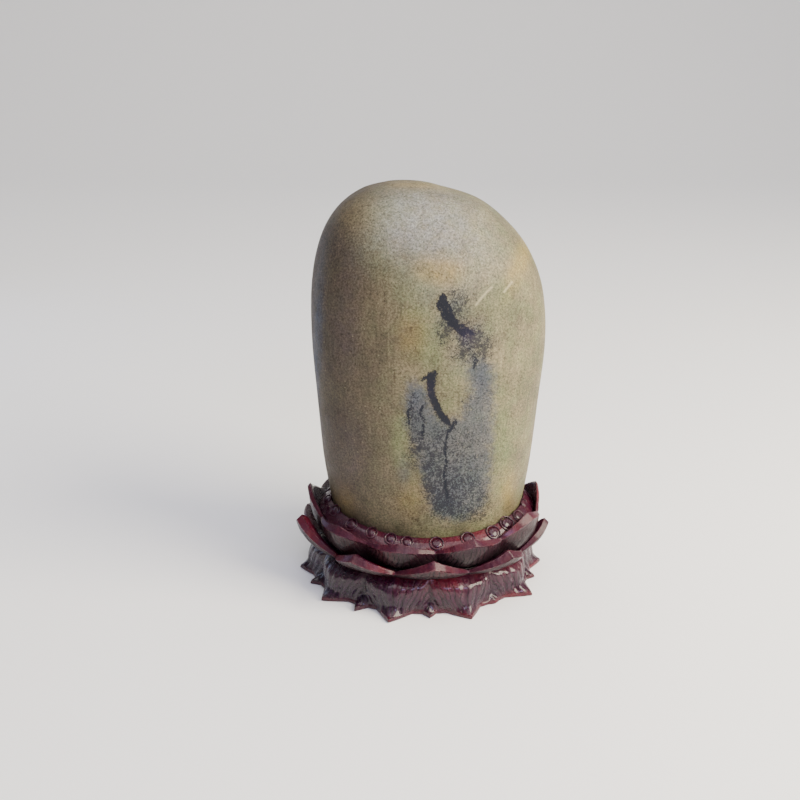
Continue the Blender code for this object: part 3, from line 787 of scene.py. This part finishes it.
def lacqueredRosewood():
    # Hand-carved rosewood under an old dark red lacquer: painted shade of deep wine in the hollows, redder
    # where the light gets in, cut veins on the petals, dusty grey outer faces and pale worn rims.
    finish = standFinish
    material, add = newMaterial("lacqueredRosewood")
    place = add("ShaderNodeTexCoord", out="Object")
    pattern = addPatterns(add, place, finish["patterns"])
    field = {name: add("ShaderNodeAttribute", out="Fac", attribute_name=name) for name in carvingFields}
    colour = {name: linear(value) for name, value in finish.items() if str(value).startswith("#")}
    plain = add("ShaderNodeMath", {0: field["petalTone"], 1: pattern["tone"]}, operation="MULTIPLY")
    body = addLayers(add, colour["wine"], [
        (plain, 0.8, colour["bright"]),
        (pattern["stain"], 0.4, colour["plum"]),
        (field["skirtFace"], 1.1, colour["aubergine"]),
        # painted shade in the troughs between the tiers
        (field["hollowShade"], 0.95, colour["deep"]),
    ])
    # cut lines along the veins
    phase = add("ShaderNodeMath", {0: field["vein"], 1: pattern["shake"]}, operation="ADD")
    phase = add("ShaderNodeMath", {0: phase, 1: finish["veins"]}, operation="MULTIPLY")
    saw = add("ShaderNodeMath", {0: phase, 1: 0.5}, operation="PINGPONG")
    cut = add("ShaderNodeMapRange", {0: saw, 1: 0.15, 2: 0.0}, interpolation_type="SMOOTHSTEP")
    carved = add("ShaderNodeMath", {0: field["skirtFace"], 1: field["outerFace"]}, operation="MAXIMUM")
    cut = add("ShaderNodeMath", {0: cut, 1: carved}, operation="MULTIPLY")
    dusty = add("ShaderNodeMapRange", {0: pattern["stain"], 3: 0.45, 4: 1.0})
    dusty = add("ShaderNodeMath", {0: field["outerFace"], 1: dusty}, operation="MULTIPLY")
    edges = add("ShaderNodeMath", {0: field["upFace"], 1: -0.5}, operation="ADD")
    edges = add("ShaderNodeMath", {0: edges}, operation="ABSOLUTE")
    edges = add("ShaderNodeMapRange", {0: edges, 1: finish["wornFrom"], 2: 0.5})
    edges = add("ShaderNodeMath", {0: edges, 1: field["rimFace"]}, operation="MULTIPLY")
    worn = add("ShaderNodeMath", {0: edges, 1: pattern["wear"]}, operation="MULTIPLY")
    body = addLayers(add, body, [
        (dusty, 0.5, colour["dust"]),
        (cut, 1.4, colour["deep"]),
        (worn, 0.7, colour["worn"]),
    ])
    dents, pores = pattern["stain"], pattern["pores"]
    uneven = add("ShaderNodeMath", {0: dents, 1: 1.5, 2: pores}, operation="MULTIPLY_ADD")
    relief = add("ShaderNodeMath", {0: cut, 1: -finish["cutRelief"], 2: uneven}, operation="MULTIPLY_ADD")
    bump = add("ShaderNodeBump", {"Strength": 0.8, "Distance": finish["reliefHeight"], "Height": relief})
    dull = add("ShaderNodeMath", {0: field["rimFace"], 1: 0.6, 2: dusty}, operation="MULTIPLY_ADD")
    rough = {0: dull, 1: finish["dullRoughness"], 2: pattern["gloss"]}
    rough = add("ShaderNodeMath", rough, operation="MULTIPLY_ADD")
    coat = add("ShaderNodeMapRange", {0: dull, 3: finish["coat"], 4: finish["dullCoat"]})
    surface = add("ShaderNodeBsdfPrincipled", {
        "Base Color": body, "Roughness": rough, "IOR": finish["ior"], "Normal": bump,
        "Specular IOR Level": finish["specular"],
        "Coat Weight": coat, "Coat Roughness": finish["coatRoughness"],
    })
    add("ShaderNodeOutputMaterial", {"Surface": surface})
    return material


def makeStand(material):
    rings, fields = standRings()
    foot = np.array(stoneShape["foot"]) - np.array((0.0, 0.0, standShape["socketGap"]))
    piece = loftMesh("lotusStand", rings, (0.0, 0.0, 0.0), foot, fields)
    return runTree(piece, carvingTree(material), carving)


# Seeds on the pod's band, as (angle from the front, place from the edge to the lip, radius in mm).
seeds = {
    "places": [
        (-66, 0.72, 4.0), (-48, 0.62, 4.0), (-33.5, 0.66, 3.7), (-21.5, 0.62, 3.7), (-12, 0.58, 3.7),
        (4.5, 0.55, 4.2), (22.5, 0.58, 4.3), (38.5, 0.5, 4.4), (50, 0.6, 4.8), (61.5, 0.52, 4.1),
        (76, 0.74, 3.6), (94, 0.6, 3.6), (113, 0.55, 3.7), (133, 0.6, 3.9), (154, 0.55, 3.6),
        (174, 0.6, 3.7), (196, 0.55, 3.8), (217, 0.6, 3.7), (238, 0.55, 3.6), (258, 0.6, 3.7),
        (277, 0.66, 3.6),
    ],
    "tree": {
        "Rim Thickness": 0.12,      # shares of the seed's radius
        "Kernel Width": 0.74,
        "Kernel Height": 0.2,
    },
}


def seedTree(material):
    # One seed is a raised ring round a low kernel. It stands on every point, turned to its normal.
    tree, add = addGroup("seeds", seeds["tree"])
    inlet = add("NodeGroupInput").node
    ring = add("GeometryNodeCurvePrimitiveCircle", {"Resolution": 36, "Radius": 1.0})
    thickness = inlet.outputs["Rim Thickness"]
    bead = add("GeometryNodeCurvePrimitiveCircle", {"Resolution": 10, "Radius": thickness})
    ring = add("GeometryNodeCurveToMesh", {"Curve": ring, "Profile Curve": bead})
    width, height = inlet.outputs["Kernel Width"], inlet.outputs["Kernel Height"]
    size = add("ShaderNodeCombineXYZ", {0: width, 1: width, 2: height})
    kernel = add("GeometryNodeMeshUVSphere", {"Segments": 24, "Rings": 12, "Radius": 1.0})
    kernel = add("GeometryNodeTransform", {"Geometry": kernel, "Scale": size})
    joined = add("GeometryNodeJoinGeometry").node
    for part in (ring, kernel):
        tree.links.new(part, joined.inputs[0])
    outward = add("GeometryNodeInputNamedAttribute", {"Name": "outward"}, data_type="FLOAT_VECTOR")
    radius = add("GeometryNodeInputNamedAttribute", {"Name": "radius"})
    turn = add("FunctionNodeAlignRotationToVector", {"Vector": outward}, axis="Z")
    shape = add("GeometryNodeInstanceOnPoints", {
        "Points": inlet.outputs["Geometry"], "Instance": joined.outputs[0], "Rotation": turn, "Scale": radius,
    })
    shape = add("GeometryNodeRealizeInstances", {0: shape})
    shape = add("GeometryNodeSetShadeSmooth", {0: shape})
    shape = add("GeometryNodeSetMaterial", {"Geometry": shape, "Material": material})
    add("NodeGroupOutput", {0: shape})
    return tree


def makeSeeds(material):
    degrees, across, radii = (np.array(column, dtype=float) for column in zip(*seeds["places"]))
    angle = np.radians(degrees)
    rows = bandRows(angle)
    ahead = bandRows(angle + 0.01)
    points, outward = [], []
    for number, share in enumerate(across):
        point = curveThrough(rows[:, number], [share * 2.0])[0]
        slope = rows[2, number] - rows[0, number]
        along = ahead[0, number] - rows[0, number]
        normal = np.cross(along, slope)
        points.append(point)
        outward.append(normal / np.linalg.norm(normal))
    mesh = bpy.data.meshes.new("seeds")
    mesh.from_pydata((np.array(points) * toMetres).tolist(), [], [])
    mesh.attributes.new("outward", "FLOAT_VECTOR", "POINT").data.foreach_set("vector", np.ravel(outward))
    mesh.attributes.new("radius", "FLOAT", "POINT").data.foreach_set("value", radii * toMetres)
    piece = bpy.data.objects.new("seeds", mesh)
    bpy.context.scene.collection.objects.link(piece)
    return runTree(piece, seedTree(material), seeds["tree"])


rosewood = lacqueredRosewood()
stand = makeStand(rosewood)
print("lotus stand:", len(stand.data.polygons), "faces")
podSeeds = makeSeeds(rosewood)
print("seeds:", len(podSeeds.data.polygons), "faces")

for piece, node, finishName in ((stone, "stone", "river_stone"), (stand, "lotus_stand", "rosewood"),
                                (podSeeds, "lotus_stand", "rosewood")):
    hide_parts(node)
    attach(piece, "root")

# Studio: pale floor that sweeps up behind, soft light from the right and above
studio = {
    # the floor's section in metres, and the steps round its bend
    "sweep": {"width": 12.0, "front": -6.0, "bend": 1.6, "bendRadius": 1.2, "height": 4.0, "steps": 24},
    "floorColour": "#f7f5f5",
    "surroundings": "#f4f5f8",
    "surroundingsLight": (0.06, 0.9),       # strength away from the windows and towards them
    "windowSide": (0.75, 0.25, 0.6),
    # name: place, width and height in metres, power in watts, colour
    "lights": {
        "windowRight": ((0.95, -0.45, 0.75), (0.7, 0.9), 41.0, "#fff5dc"),
        "ceiling": ((0.0, -0.3, 3.2), (3.0, 3.0), 68.0, "#ffffff"),
        "frontCool": ((0.4, -1.15, 0.95), (0.6, 0.3), 6.5, "#c6c2ff"),
        "rimLeft": ((-0.75, 0.5, 0.25), (0.2, 0.6), 0.9, "#8fabe6"),
    },
    "aim": (0.0, 0.0, 0.13),
}


def makeStudio():
    sweep = studio["sweep"]
    turns = np.linspace(0.0, math.pi / 2.0, sweep["steps"])
    line = [(sweep["front"], 0.0)]
    bend, radius = sweep["bend"], sweep["bendRadius"]
    line += [(bend + radius * math.sin(turn), radius * (1.0 - math.cos(turn))) for turn in turns]
    line += [(line[-1][0], sweep["height"])]
    half = sweep["width"] / 2.0
    points = [(across, y, z) for y, z in line for across in (-half, half)]
    faces = [(2 * k, 2 * k + 1, 2 * k + 3, 2 * k + 2) for k in range(len(line) - 1)]
    mesh = bpy.data.meshes.new("floor")
    mesh.from_pydata(points, [], faces)
    mesh.shade_smooth()
    floor = bpy.data.objects.new("floor", mesh)
    bpy.context.scene.collection.objects.link(floor)
    material, add = newMaterial("paintedFloor")
    surface = add("ShaderNodeBsdfPrincipled", {"Base Color": linear(studio["floorColour"]), "Roughness": 0.9})
    add("ShaderNodeOutputMaterial", {"Surface": surface})
    mesh.materials.append(material)

    for name, (spot, (width, height), power, tone) in studio["lights"].items():
        light = bpy.data.lights.new(name, "AREA")
        light.shape = "RECTANGLE"
        light.size, light.size_y = width, height
        light.energy = power
        light.color = linear(tone)[:3]
        lamp = bpy.data.objects.new(name, light)
        lamp.location = spot
        lamp.rotation_euler = (Vector(studio["aim"]) - Vector(spot)).to_track_quat("-Z", "Y").to_euler()
        bpy.context.scene.collection.objects.link(lamp)

    world = bpy.data.worlds.new("paleRoom")
    world.use_nodes = True
    world.node_tree.nodes.clear()
    add = partial(addNode, world.node_tree)
    look = add("ShaderNodeTexCoord", out="Generated")
    towards = add("ShaderNodeVectorMath", {0: look, 1: studio["windowSide"]}, 1, operation="DOT_PRODUCT")
    weak, strong = studio["surroundingsLight"]
    strength = add("ShaderNodeMapRange", {0: towards, 1: -0.5, 2: 0.9, 3: weak, 4: strong})
    room = add("ShaderNodeBackground", {"Color": linear(studio["surroundings"]), "Strength": strength})
    add("ShaderNodeOutputWorld", {"Surface": room})
    bpy.context.scene.world = world


def makeCamera():
    data = bpy.data.cameras.new("photoCamera")
    data.lens = cameraSetup["lens"]
    data.sensor_width = cameraSetup["sensor"]
    camera = bpy.data.objects.new("photoCamera", data)
    camera.location = Vector(cameraSetup["place"]) * toMetres
    camera.rotation_euler = (math.radians(90.0 - cameraSetup["downward"]), 0.0, 0.0)
    bpy.context.scene.collection.objects.link(camera)
    bpy.context.scene.camera = camera


makeStudio()
makeCamera()
print("studio: floor, lights and camera")
